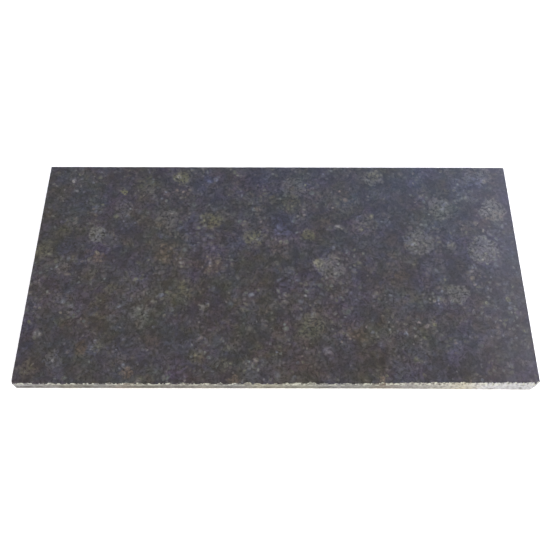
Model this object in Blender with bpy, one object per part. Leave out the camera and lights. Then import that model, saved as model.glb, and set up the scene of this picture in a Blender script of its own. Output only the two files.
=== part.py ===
"""A granite slab for leatherwork: one sawn piece of stone with a polished top and raw sawn sides.

Metres, +Z up. The origin is at the centre of the underside. +X runs along the length, and the front faces -Y.
The front arris is chipped, the front face leans in towards its foot, and both front corners are knocked off.
"""

import bpy
import bmesh
from mathutils import Vector

# Overall sizes
LENGTH = 0.610
DEPTH = 0.305
THICKNESS = 0.020

# Easing of the arrises: how far the small flat reaches along each of the two faces that meet there
TOP_EASE = 0.0006
BOTTOM_EASE = 0.0010

# How far the foot of the front face lies behind its top edge, because the saw wandered
FRONT_UNDERCUT = 0.0012

# The front corners, knocked off: (along the front, along the side). The left break runs out towards its foot.
LEFT_CLIP = (0.0027, 0.0037)
LEFT_CLIP_FOOT = (0.0008, 0.0008)
RIGHT_CLIP = (0.0060, 0.0035)

# Chips in the polished arris, from left to right: the place as a share of half the edge, from -1 to 1,
# then the half width, the run back into the top and the drop down the side face
FRONT_CHIPS = (
    (-0.965, 0.0045, 0.0022, 0.0020),
    (-0.725, 0.0035, 0.0016, 0.0014),
    (-0.545, 0.0050, 0.0020, 0.0024),
    (-0.260, 0.0060, 0.0024, 0.0018),
    (-0.105, 0.0065, 0.0018, 0.0022),
    (0.000, 0.0030, 0.0014, 0.0016),
    (0.110, 0.0085, 0.0022, 0.0020),
    (0.195, 0.0100, 0.0028, 0.0024),
    (0.335, 0.0040, 0.0016, 0.0020),
    (0.460, 0.0045, 0.0018, 0.0014),
    (0.560, 0.0060, 0.0022, 0.0018),
    (0.800, 0.0090, 0.0020, 0.0026),
    (0.880, 0.0120, 0.0030, 0.0022),
    (0.970, 0.0050, 0.0024, 0.0020),
)
BACK_CHIPS = (
    (-0.180, 0.0020, 0.0010, 0.0012),
)

# Where a chip's edge is broken into short straight runs, as shares of its half width
CHIP_BREAKS = (-1.0, -0.6, -0.15, 0.35, 0.75, 1.0)
# How far a chip's slope is hollowed inwards at its middle, as a share of the chip's run and drop
HOLLOW = 0.2
# Two breaks nearer than this become one
CLOSEST_BREAKS = 0.0004

POLISHED = ("polished_granite", (0.050, 0.049, 0.055, 1.0), 0.16)
SAWN = ("sawn_granite", (0.36, 0.36, 0.35, 1.0), 0.80)


def clear_scene():
    for thing in list(bpy.data.objects):
        bpy.data.objects.remove(thing, do_unlink=True)


def stone(name, colour, roughness):
    material = bpy.data.materials.new(name)
    material.use_nodes = True
    shader = material.node_tree.nodes["Principled BSDF"]
    shader.inputs["Base Color"].default_value = colour
    shader.inputs["Roughness"].default_value = roughness
    shader.inputs["Metallic"].default_value = 0.0
    return material


def edge_loss(chips, x):
    """The run and the drop that the chips and the easing take from the top arris at x."""
    run = TOP_EASE
    drop = TOP_EASE
    for share, half_width, chip_run, chip_drop in chips:
        offset = (x - share * LENGTH / 2) / half_width
        depth = max(0.0, 1 - offset * offset)
        run = max(run, chip_run * depth)
        drop = max(drop, chip_drop * depth)
    return run, drop


def breaks(chips, start, end):
    """The places where a long edge bends: its two ends, and the breaks of the chips between them."""
    places = []
    for share, half_width, _, _ in chips:
        places += [share * LENGTH / 2 + half_width * part for part in CHIP_BREAKS]
    kept = [start]
    for x in sorted(places):
        if kept[-1] + CLOSEST_BREAKS < x < end - CLOSEST_BREAKS:
            kept.append(x)
    return kept + [end]


def outline():
    """The outline from above, anticlockwise: (x, y, run, drop, how far the foot moves) at each point."""
    right, back = LENGTH / 2, DEPTH / 2
    front_start, front_end = LEFT_CLIP[0] - right, right - RIGHT_CLIP[0]
    undercut, upright = Vector((0.0, FRONT_UNDERCUT)), Vector((0.0, 0.0))
    points = []
    for x in breaks(FRONT_CHIPS, front_start, front_end):
        foot = undercut
        if x == front_start:
            foot = undercut + Vector((LEFT_CLIP_FOOT[0] - LEFT_CLIP[0], 0.0))
        points.append((x, -back, *edge_loss(FRONT_CHIPS, x), foot))
    points.append((right, RIGHT_CLIP[1] - back, TOP_EASE, TOP_EASE, undercut))
    for x in reversed(breaks(BACK_CHIPS, -right, right)):
        points.append((x, back, *edge_loss(BACK_CHIPS, x), upright))
    foot = undercut + Vector((0.0, LEFT_CLIP_FOOT[1] - LEFT_CLIP[1]))
    points.append((-right, LEFT_CLIP[1] - back, TOP_EASE, TOP_EASE, foot))
    return points


def inward(points, index):
    """The way that a point moves when both edges beside it move in by one unit."""
    before, here, after = (Vector(points[(index + step) % len(points)][:2]) for step in (-1, 0, 1))
    into = (here - before).normalized()
    out = (after - here).normalized()
    normal_in, normal_out = Vector((-into.y, into.x)), Vector((-out.y, out.x))
    return (normal_in + normal_out) / (1 + normal_in.dot(normal_out))


def levels(x, y, run, drop, foot, way):
    """The five points of the slab's side above one point of the outline, from the underside to the top."""
    hollow_run = HOLLOW * (run - TOP_EASE)
    hollow_drop = HOLLOW * (drop - TOP_EASE)
    insets_and_heights = (
        (BOTTOM_EASE, 0.0),
        (0.0, BOTTOM_EASE),
        (0.0, THICKNESS - drop),
        (run / 2 + hollow_run, THICKNESS - drop / 2 - hollow_drop),
        (run, THICKNESS),
    )
    places = []
    for inset, height in insets_and_heights:
        lean = max(0.0, 1 - height / (THICKNESS - TOP_EASE))
        place = Vector((x, y)) + way * inset + foot * lean
        places.append((place.x, place.y, height))
    return places


def slab_mesh():
    points = outline()
    shape = bmesh.new()
    columns = []
    for index, point in enumerate(points):
        places = levels(*point, inward(points, index))
        columns.append([shape.verts.new(place) for place in places])
    rings = list(zip(*columns))
    count = len(points)
    shape.faces.new(reversed(rings[0]))
    top = shape.faces.new(rings[-1])
    for lower, upper in zip(rings, rings[1:]):
        for index in range(count):
            after = (index + 1) % count
            shape.faces.new((lower[index], lower[after], upper[after], upper[index]))
    for face in shape.faces:
        face.material_index = 0 if face == top else 1
    mesh = bpy.data.meshes.new("granite_slab")
    shape.to_mesh(mesh)
    shape.free()
    return mesh


def main():
    clear_scene()
    slab = bpy.data.objects.new("granite_slab", slab_mesh())
    for finish in (POLISHED, SAWN):
        slab.data.materials.append(stone(*finish))
    bpy.context.scene.collection.objects.link(slab)


main()
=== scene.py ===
"""The looks of the granite slab: its chipped and sawn surface, the minerals in the polish, and a pale studio.

Lengths are in metres, in the CAD's frame: the underside lies at z = 0, +X runs along the length and -Y is the
front. The slab is one closed mesh that stands for the CAD solid and keeps inside its box.
"""

import collections
import math

import bpy
import numpy as np
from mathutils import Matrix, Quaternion, Vector, noise


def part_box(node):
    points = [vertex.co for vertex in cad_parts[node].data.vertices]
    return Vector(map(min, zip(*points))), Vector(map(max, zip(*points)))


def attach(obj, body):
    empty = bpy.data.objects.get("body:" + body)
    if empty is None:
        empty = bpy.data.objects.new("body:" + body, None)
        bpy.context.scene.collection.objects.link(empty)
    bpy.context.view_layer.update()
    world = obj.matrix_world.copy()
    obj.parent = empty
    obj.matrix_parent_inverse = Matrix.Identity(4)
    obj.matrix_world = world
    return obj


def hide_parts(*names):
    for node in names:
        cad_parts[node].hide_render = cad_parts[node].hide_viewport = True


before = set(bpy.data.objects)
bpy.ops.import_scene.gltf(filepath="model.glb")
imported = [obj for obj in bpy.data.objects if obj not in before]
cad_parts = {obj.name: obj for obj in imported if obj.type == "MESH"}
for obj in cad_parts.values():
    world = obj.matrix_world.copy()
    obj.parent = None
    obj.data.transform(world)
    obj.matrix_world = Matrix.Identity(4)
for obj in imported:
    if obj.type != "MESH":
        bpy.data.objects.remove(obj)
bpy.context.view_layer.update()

slab_low, slab_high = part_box("granite_slab")

MM = 0.001

# ------------------------------------------------------------------------------------------
# The stone's edges
# ------------------------------------------------------------------------------------------

STATION = 1.25 * MM  # spacing of the points round the slab
FRONT_STATION = 0.75 * MM  # the same along the front, whose arris is seen closest
SIDE_ROWS = 17  # rows of points down a side face
SLOPE_ROWS = 3  # rows of points down the broken arris
FOOT_ROWS = 2  # rows of points round the foot

# How far the foot of the front face lies behind its top edge, over most of its length and at the right end
FRONT_UNDERCUT = 1.2 * MM
RIGHT_UNDERCUT = 0.1 * MM
UNDERCUT_TURN = (120 * MM, 270 * MM)

# The front corners, knocked off: (along the front, along the side). The left break runs out towards its
# foot, and the back corners are only eased.
LEFT_CLIP = (1.6 * MM, 4.0 * MM)
LEFT_CLIP_FOOT = (0.3 * MM, 0.3 * MM)
RIGHT_CLIP = (6.0 * MM, 3.5 * MM)
BACK_CLIP = (0.8 * MM, 0.8 * MM)

# Chips in the polished arris, from left to right: the place as a share of half the edge, the half width, the
# run back into the top and the drop down the side face
FRONT_CHIPS = (
    (-0.965, 4.5 * MM, 1.4 * MM, 1.6 * MM),
    (-0.725, 3.5 * MM, 1.2 * MM, 1.4 * MM),
    (-0.545, 5.0 * MM, 1.6 * MM, 2.4 * MM),
    (-0.260, 6.0 * MM, 2.0 * MM, 1.8 * MM),
    (-0.105, 6.5 * MM, 2.6 * MM, 2.2 * MM),
    (0.000, 3.0 * MM, 1.4 * MM, 1.6 * MM),
    (0.085, 9.5 * MM, 2.8 * MM, 2.0 * MM),
    (0.135, 7.0 * MM, 3.4 * MM, 2.4 * MM),
    (0.335, 4.0 * MM, 1.6 * MM, 2.0 * MM),
    (0.460, 4.5 * MM, 1.8 * MM, 1.4 * MM),
    (0.560, 6.0 * MM, 2.2 * MM, 1.8 * MM),
    (0.670, 14.0 * MM, 2.6 * MM, 2.2 * MM),
    (0.800, 12.0 * MM, 2.8 * MM, 2.6 * MM),
    (0.880, 12.0 * MM, 3.2 * MM, 2.2 * MM),
    (0.970, 6.0 * MM, 2.4 * MM, 2.0 * MM),
)
BACK_CHIPS = ((-0.180, 2.0 * MM, 1.0 * MM, 1.2 * MM),)

TOP_EASE = 0.30 * MM
BOTTOM_EASE = 0.8 * MM
HOLLOW = 0.18  # how far a chip's slope is hollowed, as a share of its run and drop
BULGE = -0.10  # the same for an arris that is only eased
LEAST_HOLLOWED_RUN = 1.2 * MM
WORN_RUN = 1.5 * MM  # how much further back the arris is broken at the right end
WORN_TURN = (60 * MM, 190 * MM)
MOST_POLISHED_RUN = 0.8 * MM  # of an eased arris; a wider one is raw

# The saw's groove along the left and middle of the front face
GROOVE_HEIGHT = 7.0 * MM
GROOVE_HALF = 1.1 * MM
GROOVE_DEPTH = 0.9 * MM
GROOVE_END = 110 * MM
GROOVE_FADE = 60 * MM  # before its end
GROOVE_LEAST = 0.4  # of its depth, where it is shallowest

# The foot's rounding: its least size as a share of BOTTOM_EASE, and its middle point as shares in and up
FOOT_LEAST = 0.7
FOOT_MIDDLE = (0.35, 0.3)

# Bumps of this size across, this deep, with this seed. The depth of those named breaks is a share of what
# they break up. Nibbles and notches are the part of the noise above a start, and their drop down the side is
# a share of their run.
Wave = collections.namedtuple("Wave", "size depth seed")
BROAD_RELIEF = Wave(11 * MM, 0.30 * MM, 3.1)
FINE_RELIEF = Wave(2.6 * MM, 0.22 * MM, 7.7)
GROOVE_WANDER = Wave(45 * MM, 3.0 * MM, 9.4)
GROOVE_BREAKS = Wave(14 * MM, 0.6, 5.5)
NIBBLES = Wave(1.5 * MM, 3.4 * MM, 1.3)
NOTCHES = Wave(8.5 * MM, 3.4 * MM, 4.1)
CHIP_BREAKS = Wave(2.4 * MM, 1.1, 2.9)
FOOT_BREAKS = Wave(5 * MM, 0.8, 8.8)
BROAD_SQUASH = 1.6  # the broad bumps are this many times wider than high
RELIEF_SHIFT = 1.0  # keeps the relief of the left and right sides apart from that of the front and back
ARRIS_START = 0.46
NIBBLE_DROP = 0.8
NOTCH_DROP = 0.7
CHIP_LEAST = 0.25  # of a chip's run and drop, where it is shallowest

POLISHED, RAW, SAWN = range(3)  # the slab's material slots


def wave(kind, x, y=0.0, shift=0.0):
    """Smooth noise from 0 to 1 with this kind's bumps, not yet times their depth."""
    return 0.5 + 0.5 * noise.noise(Vector((x / kind.size, y / kind.size, kind.seed + shift)))


def smooth_step(low, high, value):
    t = min(1.0, max(0.0, (value - low) / (high - low)))
    return t * t * (3 - 2 * t)


class Edge:
    """One straight run of the slab's outline, from one corner to the next, anticlockwise."""

    def __init__(self, name, start, end, rough, ragged, chips):
        self.name = name
        self.start = Vector(start)
        self.end = Vector(end)
        self.length = (self.end - self.start).length
        along = (self.end - self.start).normalized()
        self.runs_along_x = abs(along.x) > 0.5
        self.inward = Vector((-along.y, along.x))
        self.rough = rough
        self.ragged = ragged
        self.chips = chips
        self.steps = max(2, round(self.length / (FRONT_STATION if name == "front" else STATION)))


def slab_edges():
    """The outline as edges, anticlockwise from the left end of the front."""
    left, front = slab_low.x, slab_low.y
    right, back = slab_high.x, slab_high.y
    # (edge, where it starts, how rough its face is, how ragged its arris is, its chips)
    corners = (
        ("front", (left + LEFT_CLIP[0], front), 1.0, 1.0, FRONT_CHIPS),
        ("right_clip", (right - RIGHT_CLIP[0], front), 1.3, 0.8, ()),
        ("right", (right, front + RIGHT_CLIP[1]), 0.35, 0.25, ()),
        ("back_right_clip", (right, back - BACK_CLIP[1]), 0.3, 0.3, ()),
        ("back", (right - BACK_CLIP[0], back), 0.35, 0.25, BACK_CHIPS),
        ("back_left_clip", (left + BACK_CLIP[0], back), 0.3, 0.3, ()),
        ("left", (left, back - BACK_CLIP[1]), 0.35, 0.25, ()),
        ("left_clip", (left, front + LEFT_CLIP[1]), 0.6, 0.6, ()),
    )
    edges = []
    for index, (name, start, rough, ragged, chips) in enumerate(corners):
        end = corners[(index + 1) % len(corners)][1]
        edges.append(Edge(name, start, end, rough, ragged, chips))
    return edges


def relief(edge, place, height):
    """How far the stone lies inside the plane of its side face: sawn and snapped stone is never flat."""
    shifted = place if edge.runs_along_x else place + RELIEF_SHIFT
    broad = wave(BROAD_RELIEF, shifted, height * BROAD_SQUASH) * BROAD_RELIEF.depth
    fine = wave(FINE_RELIEF, shifted, height) * FINE_RELIEF.depth
    inside = (broad + fine) * edge.rough
    if edge.name == "front":
        wander = (wave(GROOVE_WANDER, place) - 0.5) * GROOVE_WANDER.depth
        offset = (height - slab_low.z - GROOVE_HEIGHT - wander) / GROOVE_HALF
        fade = smooth_step(GROOVE_END, GROOVE_END - GROOVE_FADE, place)
        broken = GROOVE_LEAST + GROOVE_BREAKS.depth * wave(GROOVE_BREAKS, place)
        inside += GROOVE_DEPTH * math.exp(-offset * offset) * fade * broken
    return inside


def arris_loss(edge, place):
    """The run back into the top and the drop down the side that the broken arris takes at this place."""
    nibble = max(0.0, wave(NIBBLES, place, shift=edge.start.x) - ARRIS_START) * NIBBLES.depth
    notch = max(0.0, wave(NOTCHES, place, shift=edge.start.y) - ARRIS_START) * NOTCHES.depth
    run = TOP_EASE + edge.ragged * (nibble + notch)
    drop = TOP_EASE + edge.ragged * (NIBBLE_DROP * nibble + NOTCH_DROP * notch)
    if edge.name == "front":
        worn = WORN_RUN * smooth_step(*WORN_TURN, place)
        run += worn
        drop += worn
    for share, half_width, chip_run, chip_drop in edge.chips:
        offset = (place - share * slab_high.x) / half_width
        depth = max(0.0, 1 - offset * offset)
        uneven = CHIP_LEAST + CHIP_BREAKS.depth * wave(CHIP_BREAKS, place)
        run = max(run, chip_run * depth * uneven)
        drop = max(drop, chip_drop * depth * uneven)
    return run, drop


def foot_shift(edge, place, share):
    """How far the foot of the stone's side moves at this place, this share of the way along its edge."""
    clip_end = Vector((LEFT_CLIP_FOOT[0] - LEFT_CLIP[0], FRONT_UNDERCUT))
    if edge.name == "left_clip":
        clip_start = Vector((0.0, FRONT_UNDERCUT + LEFT_CLIP_FOOT[1] - LEFT_CLIP[1]))
        return clip_start.lerp(clip_end, share)
    if edge.name == "front":
        turned = smooth_step(*UNDERCUT_TURN, place)
        undercut = FRONT_UNDERCUT + (RIGHT_UNDERCUT - FRONT_UNDERCUT) * turned
        return clip_end if share == 0 else Vector((0.0, undercut))
    if edge.name == "right_clip" or (edge.name == "right" and share == 0):
        return Vector((0.0, RIGHT_UNDERCUT))
    return Vector((0.0, 0.0))


def stations(edges):
    """Points round the outline: (edge, place along it as x or y, point, inward way, how the foot moves)."""
    found = []
    for index, edge in enumerate(edges):
        before = edges[index - 1]
        for step in range(edge.steps):
            share = step / edge.steps
            point = edge.start.lerp(edge.end, share)
            way = edge.inward
            if step == 0:
                way = (edge.inward + before.inward) / (1 + edge.inward.dot(before.inward))
            place = point.x if edge.runs_along_x else point.y
            found.append((edge, place, point, way, foot_shift(edge, place, share)))
    return found


def column(edge, place, point, way, shift):
    """(points, run) of the stone's side at one station, from the top's rim down to the underside's rim."""
    top, foot = slab_high.z, slab_low.z
    run, drop = arris_loss(edge, place)
    hollow = HOLLOW if run > LEAST_HOLLOWED_RUN else BULGE
    crest = relief(edge, place, top - drop)
    inset_and_height = []
    for row in range(SLOPE_ROWS):
        t = row / SLOPE_ROWS
        bend = 4 * t * (1 - t) * hollow
        inset_and_height.append((crest + run * (1 - t + bend), top - drop * (t + bend)))
    for row in range(SIDE_ROWS):
        height = foot + BOTTOM_EASE + (top - drop - foot - BOTTOM_EASE) * (1 - row / (SIDE_ROWS - 1))
        inset_and_height.append((relief(edge, place, height), height))
    heel = relief(edge, place, foot + BOTTOM_EASE)
    ease = BOTTOM_EASE * (FOOT_LEAST + FOOT_BREAKS.depth * wave(FOOT_BREAKS, place) * edge.rough)
    inset_and_height.append((heel + FOOT_MIDDLE[0] * ease, foot + FOOT_MIDDLE[1] * BOTTOM_EASE))
    inset_and_height.append((heel + ease, foot))
    points = []
    for inset, height in inset_and_height:
        lean = max(0.0, 1 - (height - foot) / (top - TOP_EASE - foot))
        moved = point + way * inset + shift * lean
        points.append((moved.x, moved.y, height))
    return points, run


# ------------------------------------------------------------------------------------------
# The slab's mesh, with a map that gives the polished top its whole width
# ------------------------------------------------------------------------------------------

# Shares of the map's width and height
MAP_MARGIN = 0.004
TOP_HEIGHT = 0.4965
TOP_LOW = 1 - MAP_MARGIN - TOP_HEIGHT  # where the top's front edge lies
UNDERSIDE_SCALE = 0.66  # of the top's
STRIPS_LOW = 0.350  # where the unrolled side faces start, with the front's strip lowest
STRIP_HEIGHT = 0.040
STRIP_SCALE = 0.97  # of the top's, so that a strip ends before its row does
STRIP_ROWS = {"front": 0, "back": 1, "right": 2, "left": 2}
MAP_UNIT = (1 - 2 * MAP_MARGIN) / (slab_high.x - slab_low.x)  # for each metre of the top


def plan_map(x, y, low_v, scale):
    """A place on the map for a point of the top or the underside, whose front edge lies at low_v."""
    unit = MAP_UNIT * scale
    return MAP_MARGIN + (x - slab_low.x) * unit, low_v + (y - slab_low.y) * unit


def strip_map(edge_name, distance, row_share):
    """A place on the map for a point of a side face, this distance along its strip."""
    side = edge_name.split("_")[0] if edge_name.endswith("clip") else edge_name
    start = 0.5 + MAP_MARGIN if side == "left" else MAP_MARGIN
    low_v = STRIPS_LOW + STRIP_ROWS[side] * (STRIP_HEIGHT + MAP_MARGIN)
    return start + distance * MAP_UNIT * STRIP_SCALE, low_v + (1 - row_share) * STRIP_HEIGHT


def build_slab():
    """The whole stone as one closed mesh: a flat top, a flat underside and a rough band between them."""
    edges = slab_edges()
    around = stations(edges)
    rows = SLOPE_ROWS + SIDE_ROWS + FOOT_ROWS
    places, runs = [], []
    for station in around:
        points, run = column(*station)
        places += points
        runs.append(run)
    count = len(around)

    faces, slots, maps = [], [], []
    rim_top = [index * rows for index in range(count)]
    rim_foot = [index * rows + rows - 1 for index in reversed(range(count))]
    faces.append(rim_top)
    slots.append(POLISHED)
    maps.append([plan_map(places[i][0], places[i][1], TOP_LOW, 1.0) for i in rim_top])
    faces.append(rim_foot)
    slots.append(SAWN)
    maps.append([plan_map(places[i][0], places[i][1], MAP_MARGIN, UNDERSIDE_SCALE) for i in rim_foot])

    for index, (edge, _, point, _, _) in enumerate(around):
        after = (index + 1) % count
        start = (point - edge.start).length
        step = edge.length / edge.steps
        for row in range(rows - 1):
            faces.append(
                (index * rows + row, index * rows + row + 1, after * rows + row + 1, after * rows + row)
            )
            eased = row < SLOPE_ROWS and max(runs[index], runs[after]) < MOST_POLISHED_RUN
            slots.append(POLISHED if eased else RAW)
            high, low = row / (rows - 1), (row + 1) / (rows - 1)
            maps.append(
                [
                    strip_map(edge.name, start, high),
                    strip_map(edge.name, start, low),
                    strip_map(edge.name, start + step, low),
                    strip_map(edge.name, start + step, high),
                ]
            )

    mesh = bpy.data.meshes.new("slab_stone")
    mesh.from_pydata(places, [], faces)
    mesh.polygons.foreach_set("material_index", slots)
    flat = (rim_top, rim_foot)
    mesh.polygons.foreach_set("use_smooth", [face not in flat for face in faces])
    layer = mesh.uv_layers.new(name="OFBake")
    layer.uv.foreach_set("vector", np.array([uv for face in maps for uv in face], np.float32).ravel())
    mesh.update()
    slab = bpy.data.objects.new("slab_stone", mesh)
    bpy.context.scene.collection.objects.link(slab)
    return slab


# ------------------------------------------------------------------------------------------
# Materials
# ------------------------------------------------------------------------------------------

HALF = (0.5, 0.5, 0.5)  # the middle of a noise's colours


class Nodes:
    """Short calls for making the nodes of one tree. Most give back an output socket."""

    def __init__(self, tree):
        self.tree = tree

    def node(self, kind, inputs=None, **settings):
        made = self.tree.nodes.new(kind)
        for name, value in settings.items():
            setattr(made, name, value)
        for name, value in (inputs or {}).items():
            self.feed(made.inputs[name], value)
        return made

    def feed(self, socket, value):
        if isinstance(value, bpy.types.NodeSocket):
            self.tree.links.new(value, socket)
        else:
            socket.default_value = value

    def math(self, operation, a, b=0.0, c=0.0, clamp=False):
        made = self.node("ShaderNodeMath", {0: a, 1: b, 2: c}, operation=operation, use_clamp=clamp)
        return made.outputs[0]

    def vector(self, operation, a, b=(0.0, 0.0, 0.0), c=(0.0, 0.0, 0.0)):
        made = self.node("ShaderNodeVectorMath", {0: a, 1: b, 2: c}, operation=operation)
        return made.outputs["Value" if operation in ("DISTANCE", "LENGTH") else "Vector"]

    def scale(self, vector, factor):
        made = self.node("ShaderNodeVectorMath", {0: vector, "Scale": factor}, operation="SCALE")
        return made.outputs["Vector"]

    def part(self, vector, axis):
        return self.node("ShaderNodeSeparateXYZ", {"Vector": vector}).outputs[axis]

    def noise(self, vector, size, detail=2.0, roughness=0.5, output="Fac"):
        values = {"Vector": vector, "Scale": 1 / size, "Detail": detail, "Roughness": roughness}
        return self.node("ShaderNodeTexNoise", values).outputs[output]

    def cells(self, vector, size):
        """Voronoi cells about this size across: the node, with Distance, Color and Position."""
        return self.node("ShaderNodeTexVoronoi", {"Vector": vector, "Scale": 1 / size})

    def ramp(self, value, low, high, to_low=0.0, to_high=1.0):
        values = {"Value": value, "From Min": low, "From Max": high, "To Min": to_low, "To Max": to_high}
        made = self.node("ShaderNodeMapRange", values, interpolation_type="SMOOTHSTEP")
        return made.outputs["Result"]

    def mix(self, factor, a, b):
        made = self.node("ShaderNodeMix", data_type="RGBA")
        self.feed(made.inputs[0], factor)
        self.feed(made.inputs[6], a)
        self.feed(made.inputs[7], b)
        return made.outputs[2]

    def channel(self, colour, name):
        return self.node("ShaderNodeSeparateColor", {"Color": colour}).outputs[name]

    def stir(self, place, size, reach):
        """The place moved about by up to about a quarter of this reach, in swirls of this size."""
        swirl = self.vector("SUBTRACT", self.noise(place, size, output="Color"), HALF)
        return self.vector("MULTIPLY_ADD", swirl, (reach, reach, reach), place)

    def pick(self, value, colours):
        """One of the colours, each for an equal share of the values from 0 to 1."""
        made = self.node("ShaderNodeValToRGB", {"Fac": value})
        made.color_ramp.interpolation = "CONSTANT"
        made.color_ramp.elements.remove(made.color_ramp.elements[1])
        made.color_ramp.elements[0].color = colours[0]
        for index, colour in enumerate(colours[1:], 1):
            made.color_ramp.elements.new(index / len(colours)).color = colour
        return made.outputs["Color"]


def rgb(red, green, blue):
    return (red, green, blue, 1.0)


# Things that stand out in the polish, in millimetres: (from the left, from the back, across, strength)
PALE_ORBS = (
    (486, 118, 38, 0.55),
    (565, 126, 40, 0.62),
    (586, 68, 36, 0.70),
    (162, 82, 30, 0.45),
    (127, 182, 44, 0.20),
    (372, 152, 34, 0.55),
    (418, 92, 36, 0.20),
    (325, 34, 34, 0.40),
    (528, 188, 26, 0.60),
    (520, 66, 34, 0.45),
    (75, 106, 24, 0.70),
    (216, 208, 14, 0.70),
    (105, 66, 26, 0.35),
    (442, 246, 40, 0.12),
    (462, 190, 26, 0.12),
    (44, 275, 22, 0.35),
    (141, 217, 22, 0.35),
    (575, 12, 34, 0.50),
    (432, 17, 26, 0.55),
    (104, 40, 10, 0.70),
    (344, 108, 16, 0.30),
    (131, 290, 14, 0.35),
    (256, 301, 14, 0.50),
    (430, 300, 10, 0.60),
)
OLIVE_PATCHES = (
    (176, 17, 22, 1.00),
    (220, 84, 24, 0.90),
    (275, 110, 26, 0.90),
    (344, 108, 18, 0.80),
    (357, 148, 15, 1.00),
    (433, 15, 16, 0.60),
    (348, 232, 34, 0.60),
    (192, 184, 26, 0.55),
    (104, 40, 10, 1.00),
    (8, 128, 22, 0.60),
    (212, 273, 18, 0.60),
    (15, 284, 20, 0.60),
    (92, 258, 14, 0.60),
    (323, 58, 24, 0.50),
    (388, 66, 26, 0.40),
)
RUST_PATCHES = (
    (400, 240, 20, 0.90),
    (82, 140, 16, 0.90),
    (165, 130, 32, 0.80),
    (222, 150, 30, 0.55),
    (460, 164, 18, 0.80),
    (548, 164, 20, 0.40),
    (75, 258, 14, 1.00),
    (131, 290, 14, 1.00),
    (392, 44, 20, 0.60),
    (158, 252, 20, 0.60),
    (310, 128, 24, 0.45),
    (340, 262, 30, 0.40),
    (180, 38, 22, 0.50),
    (285, 205, 26, 0.45),
    (256, 301, 16, 0.90),
    (430, 300, 10, 0.90),
    (527, 302, 9, 1.00),
)
BLUE_PATCHES = (
    (312, 94, 34, 0.80),
    (206, 112, 30, 0.30),
    (408, 192, 34, 0.35),
    (362, 15, 36, 0.45),
    (566, 24, 20, 0.50),
    (110, 90, 26, 0.40),
    (45, 52, 34, 0.50),
    (215, 22, 16, 1.00),
    (40, 125, 26, 0.60),
    (200, 256, 30, 0.40),
    (12, 258, 10, 0.80),
    (438, 136, 12, 0.30),
    (316, 172, 24, 0.35),
)
WHITE_FLECKS = (
    (384, 94, 11, 0.60),
    (384, 94, 5, 1.00),
    (357, 148, 13, 0.60),
    (366, 264, 12, 0.48),
    (72, 106, 12, 0.30),
    (290, 226, 7, 0.45),
    (303, 202, 5, 0.45),
    (20, 242, 9, 0.70),
    (35, 24, 7, 0.80),
    (543, 213, 4, 0.60),
    (493, 196, 4, 0.60),
    (213, 206, 8, 0.35),
    (205, 2, 7, 0.65),
    (222, 147, 5, 0.32),
    (176, 130, 5, 0.45),
    (174, 15, 7, 0.85),
    (44, 276, 5, 0.60),
)

# The polished albedo is a grey level times a tint. DARK_LEVEL lies between the crystals, and the others are
# added to it.
DARK_LEVEL = 0.0100
GROUND_LEVEL = 0.0475  # for the ground's fine crystals
FLECK_LEVEL = 0.112  # for single rounded crystals
CLUMP_LEVEL = 0.082  # for the palest clump
WHITE_LEVEL = 0.24  # for the white flecks
PLATE_SHADE = 0.50  # of the ground's crystals is missing from a smooth dark plate
GROUND_TINT = (1.06, 0.98, 1.15)
DRIFT_TINT = (0.46, 0.40, 1.22)  # how far the slow drift moves each colour
PATCH_TINT = (0.52, 0.24, 1.00)  # how far the smaller patches do
OLIVE_TINT = rgb(1.13, 1.12, 0.50)
RUST_TINT = rgb(1.30, 0.92, 0.64)
BLUE_TINT = rgb(0.80, 0.88, 1.62)
WHITE_TINT = rgb(1.02, 1.00, 0.90)
ORB_TINT = rgb(1.03, 1.05, 0.89)
CLUMP_TINTS = (
    rgb(0.97, 1.03, 0.92),
    rgb(1.05, 1.00, 0.86),
    rgb(0.92, 0.99, 1.14),
    rgb(1.10, 0.96, 0.92),
    rgb(1.02, 1.05, 0.74),
    rgb(0.92, 1.05, 1.00),
)

# Swirls that move the pattern about: (size, reach)
SLOW_STIR = (14 * MM, 8 * MM)
FINE_STIR = (3.4 * MM, 1.4 * MM)
BROAD_STIR = (16 * MM, 16 * MM)
FRAYING_STIR = (5 * MM, 6 * MM)

# Sizes of the pattern's cells, or of the bumps of its noise
LATH_CELL = 8 * MM
LATH_WIDTH = 1.7 * MM
FAN_CELL = 17 * MM
FAN_REGION = 20 * MM
BLOT_SIZE = 3.6 * MM
GRAIN_SIZE = 3.3 * MM
DRIFT_SIZE = 30 * MM
LARGE_FLECK_CELL = 8.5 * MM
SMALL_FLECK_CELL = 5.2 * MM
PLATE_CELL = 8.5 * MM
SLOW_TINT_SIZE = 48 * MM
PATCH_TINT_SIZE = 14 * MM
LOOSE_PATCH_SIZE = 15 * MM
SPECK_CELL = 9 * MM

# Spans of a noise, of a cell's random number or of the distance from its middle, over which a thing fades in
CRYSTAL_SPAN = (0.36, 0.64)
FAN_SPAN = (0.46, 0.56)
GRAIN_RIM = (0.72, 0.22)
DRIFT_SPAN = (0.40, 0.64)
FLECK_RIM = (0.54, 0.22)
PLATE_SPAN = (0.52, 0.70)
CLUMP_RIM = (0.06, -0.03)  # beyond the clump's radius
CLUMP_SPAN = (0.25, 1.0)
LOOSE_PATCH_SPAN = (0.60, 0.76)
SPECKLE_SPAN = (0.36, 0.60)
SPECK_SPAN = (0.70, 0.95)
SPECK_RIM = (0.22, 0.10)
MOTTLE_SPAN = (0.43, 0.53)

# Steps aside, so that two patterns of the same kind don't fall together
LARGE_FLECK_STEP = (0.43, 0.11, 0.0)
LOOSE_PATCH_STEP = (0.7, 0.4, 0.0)
SPECK_STEP = (0.7, 0.2, 0.0)

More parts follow.
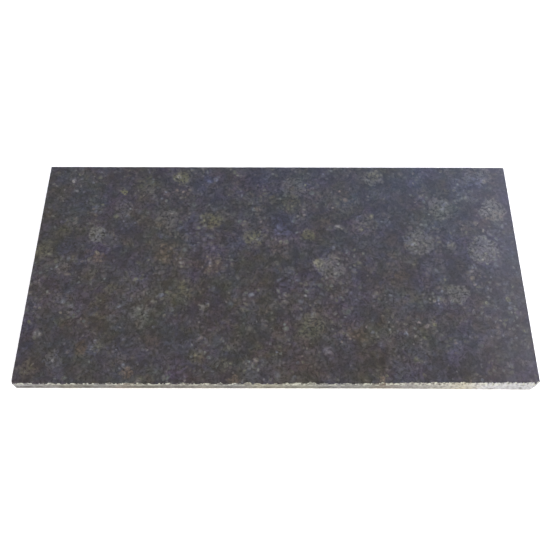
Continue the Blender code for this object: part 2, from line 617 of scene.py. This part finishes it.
LATH_STRETCH = (0.24, 1.0, 1.0)  # the noise runs this much slower along a lath
FAN_STROKES = 14
FAN_LENGTHS = 2.4  # bumps of noise along a fan's stroke
FAN_SEEDS = 9.0  # keeps the noise of one fan apart from that of the next
STROKE_SHARE = 0.40  # of the ground's crystals
BLOT_SHARE = 0.30
GRAIN_SHARE = 0.30
LARGE_FLECK_RARITY = 3.0  # the power that leaves only a few flecks bright
SMALL_FLECK_RARITY = 2.4
SMALL_FLECKS_OUTSIDE = 0.25  # how bright the small flecks still are outside the drifts
GROUND_OUTSIDE = 0.78  # the same for the ground, and how much the drifts add
GROUND_IN_DRIFTS = 0.24
FLECK_LEAST = 0.4  # of a fleck's brightness, in the dark of the blots
LOOSE_PATCHES = 0.45  # strength of the patches that aren't listed
LOOSE_SPECKS = 0.45
SPECKLE_LEAST = 0.45  # of a patch's strength, in the dark of the blots
WHITE_LEAST = 0.5  # the same for a white fleck
PATCH_COLOURING = 0.85
PATCH_GLOW = 0.55  # how far a light patch brightens, as a share of a clump
LARGE_FLECK_TINTING = 1.8  # how much of its own tint a thing shows, for its brightness
TINTING = 1.4
MOTTLE_BLOTS = 0.55  # what blots and crystals add to a clump
MOTTLE_CRYSTALS = 0.60
ORB_SOFTNESS = 0.09  # shares of the radius over which a listed thing fades
PATCH_SOFTNESS = 0.45
WHITE_SOFTNESS = 0.6

Clumps = collections.namedtuple("Clumps", "cell smallest largest strength step")
LARGE_CLUMPS = Clumps(36 * MM, 0.16, 0.44, 0.21, (0.31, 0.17, 0.0))
SMALL_CLUMPS = Clumps(17 * MM, 0.10, 0.46, 0.31, (0.53, 0.29, 0.0))


def patches(nodes, spot, places, softness):
    """Each patch's strength inside it and 0 well outside, softened over this share of its radius."""
    most = 0.0
    for from_left, from_back, across, strength in places:
        centre = (slab_low.x + from_left * MM, slab_high.y - from_back * MM, slab_high.z)
        far = nodes.vector("DISTANCE", spot, centre)
        radius = across * MM / 2
        here = nodes.ramp(far, radius * (1 + softness), radius * (1 - softness), 0.0, strength)
        most = nodes.math("MAXIMUM", most, here)
    return most


def crystal_laths(nodes, spot):
    """Strokes side by side, each cell of stone turned its own way, from 0 to 1."""
    cells = nodes.cells(spot, LATH_CELL)
    inside = nodes.vector("SUBTRACT", spot, cells.outputs["Position"])
    angle = nodes.math("MULTIPLY", nodes.channel(cells.outputs["Color"], "Red"), math.tau)
    turn = nodes.node("ShaderNodeVectorRotate", {"Vector": inside, "Angle": angle}, rotation_type="Z_AXIS")
    drawn = nodes.vector("MULTIPLY_ADD", turn.outputs["Vector"], LATH_STRETCH, cells.outputs["Color"])
    return nodes.noise(drawn, LATH_WIDTH, detail=2.0, roughness=0.6)


def crystal_fans(nodes, spot):
    """Strokes that spread from the middle of each cell of stone, from 0 to 1."""
    cells = nodes.cells(spot, FAN_CELL)
    inside = nodes.vector("SUBTRACT", spot, cells.outputs["Position"])
    flat = nodes.vector("MULTIPLY", inside, (1.0, 1.0, 0.0))
    way = nodes.scale(nodes.vector("NORMALIZE", flat), FAN_STROKES / math.tau)
    distance = nodes.math("MULTIPLY", nodes.vector("LENGTH", flat), FAN_LENGTHS / FAN_CELL)
    out = nodes.node("ShaderNodeCombineXYZ", {"Z": distance}).outputs["Vector"]
    seed = nodes.scale(cells.outputs["Color"], FAN_SEEDS)
    spread = nodes.vector("ADD", nodes.vector("ADD", way, out), seed)
    return nodes.noise(spread, 1.0, detail=1.0)


def ground_crystals(nodes, bent, near, blot):
    """The ground's fine crystals from 0 to 1: strokes, blots and single grains."""
    laths = crystal_laths(nodes, near)
    fans = crystal_fans(nodes, bent)
    fanned = nodes.ramp(nodes.noise(bent, FAN_REGION), *FAN_SPAN)
    strokes = nodes.math("ADD", laths, nodes.math("MULTIPLY", nodes.math("SUBTRACT", fans, laths), fanned))
    stroke = nodes.ramp(strokes, *CRYSTAL_SPAN)
    grains = nodes.cells(near, GRAIN_SIZE)
    rounded = nodes.ramp(grains.outputs["Distance"], *GRAIN_RIM)
    grain = nodes.math("MULTIPLY", nodes.channel(grains.outputs["Color"], "Red"), rounded)
    crystal = nodes.math("MULTIPLY_ADD", blot, BLOT_SHARE, nodes.math("MULTIPLY", grain, GRAIN_SHARE))
    return nodes.math("MULTIPLY_ADD", stroke, STROKE_SHARE, crystal)


def flecks(nodes, spot, cell, rarity, frayed):
    """(how bright, tint) of single crystals, one to a cell of this size, of which only a few are bright."""
    cells = nodes.cells(spot, cell)
    random = cells.outputs["Color"]
    shape = nodes.ramp(nodes.math("ADD", cells.outputs["Distance"], frayed), *FLECK_RIM)
    bright = nodes.math("POWER", nodes.channel(random, "Red"), rarity)
    return nodes.math("MULTIPLY", shape, bright), nodes.pick(nodes.channel(random, "Green"), CLUMP_TINTS)


def clumps(nodes, spot, kind):
    """(how pale, tint) of round clumps of crystals, one to a cell, with radii given as shares of it."""
    cells = nodes.cells(nodes.vector("ADD", spot, kind.step), kind.cell)
    random = cells.outputs["Color"]
    radius = nodes.ramp(nodes.channel(random, "Green"), 0.0, 1.0, kind.smallest, kind.largest)
    inside = nodes.ramp(nodes.math("SUBTRACT", cells.outputs["Distance"], radius), *CLUMP_RIM)
    chosen = nodes.ramp(nodes.channel(random, "Blue"), *CLUMP_SPAN, 0.0, kind.strength)
    return nodes.math("MULTIPLY", inside, chosen), nodes.pick(nodes.channel(random, "Red"), CLUMP_TINTS)


def ground_tint(nodes, bent, frayed):
    """The ground's tint: a slow drift and smaller patches."""
    slow = nodes.noise(bent, SLOW_TINT_SIZE, detail=1.0, output="Color")
    tint = nodes.vector("MULTIPLY_ADD", nodes.vector("SUBTRACT", slow, HALF), DRIFT_TINT, GROUND_TINT)
    patchy = nodes.noise(frayed, PATCH_TINT_SIZE, detail=1.0, output="Color")
    return nodes.vector("MULTIPLY_ADD", nodes.vector("SUBTRACT", patchy, HALF), PATCH_TINT, tint)


def coloured_patches(nodes, frayed, blots, tint):
    """(tint, glow) once the listed patches and some loose ones have coloured this tint."""
    aside = nodes.vector("ADD", frayed, LOOSE_PATCH_STEP)
    gathered = nodes.noise(aside, LOOSE_PATCH_SIZE, detail=1.0, output="Color")
    glow = 0.0
    kinds = (
        (OLIVE_PATCHES, "Red", OLIVE_TINT, 1.0),
        (RUST_PATCHES, "Green", RUST_TINT, 0.15),
        (BLUE_PATCHES, "Blue", BLUE_TINT, 0.0),
    )
    for places, key, own_tint, lightness in kinds:
        loose = nodes.ramp(nodes.channel(gathered, key), *LOOSE_PATCH_SPAN, 0.0, LOOSE_PATCHES)
        here = nodes.math("MAXIMUM", loose, patches(nodes, frayed, places, PATCH_SOFTNESS))
        speckled = nodes.math("MULTIPLY", here, nodes.ramp(blots, *SPECKLE_SPAN, SPECKLE_LEAST, 1.0))
        tint = nodes.mix(nodes.math("MULTIPLY", speckled, PATCH_COLOURING), tint, own_tint)
        glow = nodes.math("MAXIMUM", glow, nodes.math("MULTIPLY", speckled, lightness))
    return tint, glow


def white_flecks(nodes, near, blots):
    """White crystals from 0 to 1: small loose specks, and the listed ones broken up."""
    specks = nodes.cells(nodes.vector("ADD", near, SPECK_STEP), SPECK_CELL)
    rare = nodes.ramp(nodes.channel(specks.outputs["Color"], "Green"), *SPECK_SPAN, 0.0, LOOSE_SPECKS)
    dot = nodes.math("MULTIPLY", nodes.ramp(specks.outputs["Distance"], *SPECK_RIM), rare)
    listed = patches(nodes, near, WHITE_FLECKS, WHITE_SOFTNESS)
    broken = nodes.math("MULTIPLY", listed, nodes.ramp(blots, *SPECKLE_SPAN, WHITE_LEAST, 1.0))
    return nodes.math("MAXIMUM", dot, broken)


def mineral_group():
    """The minerals: Color is the polished albedo, Grain its fine light and dark, Pale the light crystals."""
    group = bpy.data.node_groups.new("granite_minerals", "ShaderNodeTree")
    for name, kind in (("Color", "Color"), ("Grain", "Float"), ("Pale", "Float")):
        group.interface.new_socket(name, in_out="OUTPUT", socket_type="NodeSocket" + kind)
    nodes = Nodes(group)
    place = nodes.node("ShaderNodeTexCoord").outputs["Object"]
    bent = nodes.stir(place, *SLOW_STIR)
    near = nodes.stir(bent, *FINE_STIR)
    frayed = nodes.stir(nodes.stir(place, *BROAD_STIR), *FRAYING_STIR)
    blots = nodes.noise(bent, BLOT_SIZE, detail=2.0, roughness=0.6)
    blot = nodes.ramp(blots, *CRYSTAL_SPAN)
    crystal = ground_crystals(nodes, bent, near, blot)

    # Single rounded crystals, which gather in drifts
    drifts = nodes.ramp(nodes.noise(bent, DRIFT_SIZE, detail=3.0, roughness=0.6), *DRIFT_SPAN)
    fray = nodes.math("SUBTRACT", blots, 0.5)
    aside = nodes.vector("ADD", near, LARGE_FLECK_STEP)
    large_fleck, large_fleck_tint = flecks(nodes, aside, LARGE_FLECK_CELL, LARGE_FLECK_RARITY, fray)
    small_fleck, small_fleck_tint = flecks(nodes, near, SMALL_FLECK_CELL, SMALL_FLECK_RARITY, fray)
    large_fleck = nodes.math("MULTIPLY", large_fleck, drifts)
    gathering = nodes.math("MULTIPLY_ADD", drifts, 1 - SMALL_FLECKS_OUTSIDE, SMALL_FLECKS_OUTSIDE)
    small_fleck = nodes.math("MULTIPLY", small_fleck, gathering)
    fleck = nodes.math("MAXIMUM", large_fleck, small_fleck)

    # Smooth dark plates between them
    plates = nodes.cells(frayed, PLATE_CELL)
    plate = nodes.ramp(nodes.channel(plates.outputs["Color"], "Red"), *PLATE_SPAN, 1.0, 1.0 - PLATE_SHADE)

    # Clumps of paler crystals, large and small, and the ones that stand out
    large, large_tint = clumps(nodes, frayed, LARGE_CLUMPS)
    small, small_tint = clumps(nodes, frayed, SMALL_CLUMPS)
    orb = patches(nodes, frayed, PALE_ORBS, ORB_SOFTNESS)
    clump = nodes.math("MAXIMUM", nodes.math("MAXIMUM", large, small), orb)

    tint = ground_tint(nodes, bent, frayed)
    tinted = (
        (large_fleck, LARGE_FLECK_TINTING, large_fleck_tint),
        (small_fleck, TINTING, small_fleck_tint),
        (large, TINTING, large_tint),
        (small, TINTING, small_tint),
    )
    for strength, gain, own_tint in tinted:
        tint = nodes.mix(nodes.math("MULTIPLY", strength, gain, clamp=True), tint, own_tint)
    tint = nodes.mix(orb, tint, ORB_TINT)
    tint, glow = coloured_patches(nodes, frayed, blots, tint)
    white = white_flecks(nodes, near, blots)
    tint = nodes.mix(white, tint, WHITE_TINT)

    # The grey level, from the ground up to the white flecks
    lighter = nodes.math("MULTIPLY_ADD", drifts, GROUND_IN_DRIFTS, GROUND_OUTSIDE)
    ground = nodes.math("MULTIPLY", nodes.math("MULTIPLY", crystal, plate), lighter)
    level = nodes.math("MULTIPLY_ADD", ground, GROUND_LEVEL, DARK_LEVEL)
    shaded = nodes.math("MULTIPLY", fleck, nodes.math("MULTIPLY_ADD", blot, 1 - FLECK_LEAST, FLECK_LEAST))
    level = nodes.math("MULTIPLY_ADD", shaded, FLECK_LEVEL, level)
    paler = nodes.math("MAXIMUM", clump, nodes.math("MULTIPLY", glow, PATCH_GLOW))
    crystals = nodes.math("MULTIPLY", crystal, MOTTLE_CRYSTALS)
    mottled = nodes.math("MULTIPLY_ADD", nodes.ramp(blots, *MOTTLE_SPAN), MOTTLE_BLOTS, crystals)
    level = nodes.math("MULTIPLY_ADD", nodes.math("MULTIPLY", mottled, paler), CLUMP_LEVEL, level)
    level = nodes.math("MULTIPLY_ADD", nodes.math("MULTIPLY", white, white), WHITE_LEVEL, level)

    pale = nodes.math("MAXIMUM", clump, white)
    nodes.node("NodeGroupOutput", {"Color": nodes.scale(tint, level), "Grain": crystal, "Pale": pale})
    return group


def stone_material(name):
    """(material, its nodes, its shader) of a new stone surface."""
    material = bpy.data.materials.new(name)
    material.use_nodes = True
    return material, Nodes(material.node_tree), material.node_tree.nodes["Principled BSDF"]


def add_bump(nodes, shader, height, strength, depth):
    bump = nodes.node("ShaderNodeBump", {"Strength": strength, "Distance": depth, "Height": height})
    nodes.feed(shader.inputs["Normal"], bump.outputs["Normal"])


WEAR_SIZE = 60 * MM
WEAR_SPAN = (0.35, 0.70)
POLISH_ROUGHNESS = (0.10, 0.17)
GRAIN_ROUGHNESS = 0.03  # what the crystals add
POLISH_BUMP = (0.25, 0.06 * MM)  # strength and depth


def polished_stone(minerals):
    material, nodes, shader = stone_material("polished_granite")
    stone = nodes.node("ShaderNodeGroup", node_tree=minerals).outputs
    place = nodes.node("ShaderNodeTexCoord").outputs["Object"]
    nodes.feed(shader.inputs["Base Color"], stone["Color"])
    worn = nodes.ramp(nodes.noise(place, WEAR_SIZE, detail=4.0), *WEAR_SPAN, *POLISH_ROUGHNESS)
    grainy = nodes.math("MULTIPLY", stone["Grain"], GRAIN_ROUGHNESS)
    nodes.feed(shader.inputs["Roughness"], nodes.math("ADD", worn, grainy))
    add_bump(nodes, shader, stone["Grain"], *POLISH_BUMP)
    return material


# The broken and rough-sawn sides: (from the left in millimetres, albedo). The albedo pales towards the right
# end, partly the stone's own whiter tone and partly painted light from the right.
EDGE_TONES_AND_LIGHT = (
    (3, rgb(0.22, 0.22, 0.23)),
    (45, rgb(0.21, 0.20, 0.19)),
    (66, rgb(0.14, 0.13, 0.10)),
    (100, rgb(0.14, 0.14, 0.14)),
    (128, rgb(0.21, 0.18, 0.14)),
    (155, rgb(0.18, 0.18, 0.14)),
    (185, rgb(0.15, 0.14, 0.13)),
    (222, rgb(0.22, 0.21, 0.17)),
    (255, rgb(0.14, 0.14, 0.14)),
    (290, rgb(0.24, 0.23, 0.17)),
    (345, rgb(0.21, 0.21, 0.17)),
    (375, rgb(0.18, 0.18, 0.18)),
    (415, rgb(0.20, 0.20, 0.17)),
    (430, rgb(0.14, 0.11, 0.08)),
    (455, rgb(0.22, 0.21, 0.20)),
    (505, rgb(0.36, 0.35, 0.31)),
    (525, rgb(0.44, 0.41, 0.31)),
    (545, rgb(0.49, 0.49, 0.50)),
    (605, rgb(0.45, 0.46, 0.47)),
)
EDGE_SHADOW = rgb(0.060, 0.058, 0.046)
EDGE_DUST = rgb(0.55, 0.57, 0.47)
EDGE_STIR = (12 * MM, 30 * MM)
RAW_GRAIN_SIZE = 3.6 * MM
RAW_GRAIN_SPAN = (0.32, 0.60)
RAW_GRAIN_LEAST = 0.10  # of the tone, in the darkest grains
CRUSHED_BAND = (7 * MM, 3 * MM)  # below the top, where the dust of the crushed arris thickens
CRUSHED_DUST = (0.10, 0.62)
SETTLED_BAND = (4 * MM, 1 * MM)  # above the foot, where dust has settled
SETTLED_DUST = 0.45
DUST_SIZE = 3.2 * MM
DUST_SPAN = (0.48, 0.60)
DUST_STEP = (2.0, 0.0, 0.0)  # aside from the grain, which has nearly the same size
GROOVE_SHADOW_BAND = (3.4 * MM, 1.2 * MM)  # above and below the groove's middle
GROOVE_SHADOW = 0.90
GROOVE_PATCH_SIZE = 11 * MM
GROOVE_PATCH_SPAN = (0.46, 0.58)
ROUGHNESS_SPAN = (0.3, 0.7)  # of the noise that the roughness of raw and sawn stone follows
RAW_ROUGHNESS = (0.72, 0.92)
RAW_BUMP = (0.7, 0.35 * MM)


def raw_stone():
    """Broken and rough-sawn sides: pale with stone dust along the arris, dark in the saw's groove."""
    material, nodes, shader = stone_material("raw_granite")
    place = nodes.node("ShaderNodeTexCoord").outputs["Object"]
    # The tone along the length: paler towards the right end, partly the stone's own tone and partly painted
    # light from the right
    across = nodes.part(nodes.stir(place, *EDGE_STIR), "X")
    whole = {"Value": across, "From Min": slab_low.x, "From Max": slab_high.x}
    share = nodes.node("ShaderNodeMapRange", whole).outputs["Result"]
    tones_and_light = nodes.node("ShaderNodeValToRGB", {"Fac": share})
    stops = tones_and_light.color_ramp.elements
    stops.remove(stops[1])
    length = (slab_high.x - slab_low.x) / MM
    stops[0].position = EDGE_TONES_AND_LIGHT[0][0] / length
    stops[0].color = EDGE_TONES_AND_LIGHT[0][1]
    for from_left, colour in EDGE_TONES_AND_LIGHT[1:]:
        stops.new(from_left / length).color = colour
    grain = nodes.noise(place, RAW_GRAIN_SIZE, detail=4.0, roughness=0.7)
    lit = nodes.ramp(grain, *RAW_GRAIN_SPAN, RAW_GRAIN_LEAST, 1.0)
    colour = nodes.mix(lit, EDGE_SHADOW, tones_and_light.outputs["Color"])

    # Dust, thickest just under the arris and at the foot
    height = nodes.part(place, "Z")
    under_top = [slab_high.z - depth for depth in CRUSHED_BAND]
    over_foot = [slab_low.z + lift for lift in SETTLED_BAND]
    crushed = nodes.ramp(height, *under_top, *CRUSHED_DUST)
    settled = nodes.ramp(height, *over_foot, 0.0, SETTLED_DUST)
    dots = nodes.ramp(nodes.noise(nodes.vector("ADD", place, DUST_STEP), DUST_SIZE), *DUST_SPAN)
    dust = nodes.math("MULTIPLY", nodes.math("MAXIMUM", crushed, settled), dots)
    colour = nodes.mix(dust, colour, EDGE_DUST)

    # The groove's shadow, in patches
    from_groove = nodes.math("SUBTRACT", height, slab_low.z + GROOVE_HEIGHT)
    groove = nodes.ramp(nodes.math("ABSOLUTE", from_groove), *GROOVE_SHADOW_BAND)
    open_length = nodes.ramp(across, GROOVE_END, GROOVE_END - GROOVE_FADE, 0.0, GROOVE_SHADOW)
    open_groove = nodes.math("MULTIPLY", groove, open_length)
    patchy = nodes.noise(place, GROOVE_PATCH_SIZE, detail=3.0, roughness=0.6)
    shadow = nodes.math("MULTIPLY", open_groove, nodes.ramp(patchy, *GROOVE_PATCH_SPAN))
    nodes.feed(shader.inputs["Base Color"], nodes.mix(shadow, colour, EDGE_SHADOW))
    nodes.feed(shader.inputs["Roughness"], nodes.ramp(grain, *ROUGHNESS_SPAN, *RAW_ROUGHNESS))
    add_bump(nodes, shader, grain, *RAW_BUMP)
    return material


SAW_STRETCH = (0.04, 1.0, 1.0)  # the noise runs this much slower along a line
SAW_LINE_SIZE = 1.8 * MM
SAW_LINE_SPAN = (0.35, 0.65)
SAWN_DARK = rgb(0.15, 0.15, 0.15)
SAWN_LIGHT = rgb(0.22, 0.22, 0.215)
SAWN_PALE = rgb(0.30, 0.30, 0.28)
PALE_SHARE = 0.5  # how far the pale crystals show
SAWN_ROUGHNESS = (0.62, 0.80)
SAWN_BUMP = (0.5, 0.2 * MM)


def sawn_stone(minerals):
    """The underside: straight gang-saw lines through dull grey stone."""
    material, nodes, shader = stone_material("sawn_granite")
    stone = nodes.node("ShaderNodeGroup", node_tree=minerals).outputs
    place = nodes.node("ShaderNodeTexCoord").outputs["Object"]
    lined = nodes.vector("MULTIPLY", place, SAW_STRETCH)
    lines = nodes.noise(lined, SAW_LINE_SIZE, detail=3.0, roughness=0.6)
    dull = nodes.mix(nodes.ramp(lines, *SAW_LINE_SPAN), SAWN_DARK, SAWN_LIGHT)
    colour = nodes.mix(nodes.math("MULTIPLY", stone["Pale"], PALE_SHARE), dull, SAWN_PALE)
    nodes.feed(shader.inputs["Base Color"], colour)
    nodes.feed(shader.inputs["Roughness"], nodes.ramp(lines, *ROUGHNESS_SPAN, *SAWN_ROUGHNESS))
    add_bump(nodes, shader, lines, *SAWN_BUMP)
    return material


# ------------------------------------------------------------------------------------------
# The studio
# ------------------------------------------------------------------------------------------

CAMERA_PLACE = (10.35 * MM, -400.1 * MM, 780.2 * MM)
CAMERA_AIM = (12.6 * MM, -18.0 * MM, 20.0 * MM)
CAMERA_LENS = 44.185  # in millimetres, as is the sensor
CAMERA_SENSOR = 36.0
CAMERA_ROLL = 0.0071  # radians
CAMERA_SHIFT = -0.0123

ROOM_COLOUR = rgb(0.80, 0.74, 0.68)
SKY_WAY = (0.0, 0.86, 0.50)  # towards the bluish part of the room
SKY_REACH = 0.66
SKY_COLOUR = rgb(0.64, 1.03, 2.00)
WINDOW_WAY = (0.38, 0.62, 0.69)
WINDOW_REACH = 0.50
WINDOW_COLOUR = (0.76, 1.00, 1.58)
CARD_COLOUR = (0.92, 0.87, 1.15)
CARD_SIDES = (0.24, 0.33, 0.50, 0.75)  # how far right the white card fades in and out: 1 is due right
KEY_PLACE = (0.7, -1.3, 1.9)
KEY_AIM = (0.0, 0.0, 0.0)
KEY_SIZE = (1.6, 1.2)
KEY_POWER = 34.0  # watts
FLOOR_REACH = 12.0
FLOOR_GAP = 0.2 * MM  # between the paper and the slab
PAPER_COLOUR = rgb(0.93, 0.93, 0.93)
FLOOR_GLOW = 0.25  # keeps the paper white in the slab's own soft shadow


def add_camera():
    camera = bpy.data.objects.new("camera", bpy.data.cameras.new("camera"))
    camera.data.lens = CAMERA_LENS
    camera.data.sensor_width = CAMERA_SENSOR
    camera.data.shift_x = CAMERA_SHIFT
    camera.location = CAMERA_PLACE
    look = Vector(CAMERA_AIM) - Vector(CAMERA_PLACE)
    level = look.to_track_quat("-Z", "Y")
    camera.rotation_euler = (level @ Quaternion((0.0, 0.0, 1.0), CAMERA_ROLL)).to_euler()
    bpy.context.scene.collection.objects.link(camera)
    bpy.context.scene.camera = camera


def add_key_light():
    light = bpy.data.lights.new("key", "AREA")
    light.shape = "RECTANGLE"
    light.size, light.size_y = KEY_SIZE
    light.energy = KEY_POWER
    panel = bpy.data.objects.new("key", light)
    panel.location = KEY_PLACE
    panel.rotation_euler = (Vector(KEY_AIM) - Vector(KEY_PLACE)).to_track_quat("-Z", "Y").to_euler()
    bpy.context.scene.collection.objects.link(panel)


def add_room():
    """Soft light from all sides: a bluish sky behind, a window behind the right end, a card to the right."""
    world = bpy.data.worlds.new("pale_room")
    world.use_nodes = True
    nodes = Nodes(world.node_tree)
    way = nodes.node("ShaderNodeTexCoord").outputs["Generated"]
    from_sky = nodes.vector("DISTANCE", way, SKY_WAY)
    colour = nodes.mix(nodes.ramp(from_sky, SKY_REACH, 0.0), ROOM_COLOUR, SKY_COLOUR)
    from_window = nodes.vector("DISTANCE", way, WINDOW_WAY)
    glow = nodes.ramp(from_window, WINDOW_REACH, 0.0)
    colour = nodes.vector("ADD", colour, nodes.scale(WINDOW_COLOUR, glow))
    rightward = nodes.part(way, "X")
    fade_in, full, fade_out, gone = CARD_SIDES
    card = nodes.math("MULTIPLY", nodes.ramp(rightward, fade_in, full), nodes.ramp(rightward, gone, fade_out))
    colour = nodes.vector("ADD", colour, nodes.scale(CARD_COLOUR, card))
    nodes.feed(world.node_tree.nodes["Background"].inputs["Color"], colour)
    bpy.context.scene.world = world


def add_floor():
    mesh = bpy.data.meshes.new("floor")
    height = slab_low.z - FLOOR_GAP
    ways = ((-1, -1), (1, -1), (1, 1), (-1, 1))
    mesh.from_pydata([(x * FLOOR_REACH, y * FLOOR_REACH, height) for x, y in ways], [], [(0, 1, 2, 3)])
    floor = bpy.data.objects.new("floor", mesh)
    bpy.context.scene.collection.objects.link(floor)
    paper = bpy.data.materials.new("pale_paper")
    paper.use_nodes = True
    shader = paper.node_tree.nodes["Principled BSDF"]
    shader.inputs["Base Color"].default_value = PAPER_COLOUR
    shader.inputs["Roughness"].default_value = 0.9
    shader.inputs["Specular IOR Level"].default_value = 0.2
    shader.inputs["Emission Color"].default_value = rgb(1.0, 1.0, 1.0)
    shader.inputs["Emission Strength"].default_value = FLOOR_GLOW
    mesh.materials.append(paper)


# ------------------------------------------------------------------------------------------
# Putting it together
# ------------------------------------------------------------------------------------------

bpy.context.scene.view_settings.view_transform = "Standard"
add_camera()
add_room()
add_floor()
add_key_light()
minerals = mineral_group()
slab = build_slab()
for material in (polished_stone(minerals), raw_stone(), sawn_stone(minerals)):
    slab.data.materials.append(material)
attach(slab, "root")
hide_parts("granite_slab")
